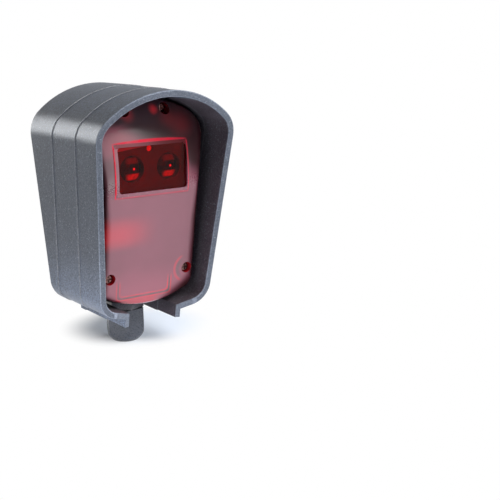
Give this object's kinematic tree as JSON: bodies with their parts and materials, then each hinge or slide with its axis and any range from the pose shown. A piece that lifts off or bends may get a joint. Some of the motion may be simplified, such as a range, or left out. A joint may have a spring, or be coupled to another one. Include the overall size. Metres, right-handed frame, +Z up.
{
  "type": "reflective photocell",
  "caption": "Wall-mounted reflective photocell: red translucent sensor housing with lens window, set in a stepped weather hood, with a cable gland below.",
  "frame": {"origin": "centre of the two wall-screw holes, on the wall plane at the back of the hood", "axes": "+Z up, the window faces -Y, +Y points into the wall, +X to the right seen from the front"},
  "size_m": [0.0722, 0.0724, 0.1271],
  "materials": {
    "hood_plastic": "fine moulded texture",
    "base_plastic": "satin",
    "red_polycarbonate": "translucent, satin",
    "seal_rubber": "matt",
    "screw_steel": "bright zinc",
    "board_laminate": "solder mask",
    "holder_plastic": "satin black",
    "lens_acrylic": "polished",
    "lamp_red": "clear coloured resin",
    "diode_resin": "tinted resin",
    "relay_plastic": "satin",
    "capacitor_aluminium": "sleeved can",
    "terminal_plastic": "satin",
    "gland_plastic": "satin nylon"
  },
  "bodies": {
    "root": {"hood": "hood_plastic", "base_housing": "base_plastic", "front_cover": "red_polycarbonate", "cover_gasket": "seal_rubber", "cover_screws": "screw_steel", "hood_screws": "screw_steel", "circuit_board": "board_laminate", "board_screws": "screw_steel", "lens_holder": "holder_plastic", "emitter_lens": "lens_acrylic", "receiver_lens": "lens_acrylic", "indicator_led": "lamp_red", "emitter_diode": "diode_resin", "receiver_diode": "diode_resin", "relay": "relay_plastic", "controller_chip": "holder_plastic", "supply_capacitor": "capacitor_aluminium", "terminal_block": "terminal_plastic", "terminal_screws": "screw_steel", "mode_jumper": "holder_plastic", "gland_body": "gland_plastic", "gland_washer": "seal_rubber", "gland_seal": "seal_rubber", "gland_locknut": "gland_plastic", "gland_dome_nut": "gland_plastic"}
  },
  "joints": []
}
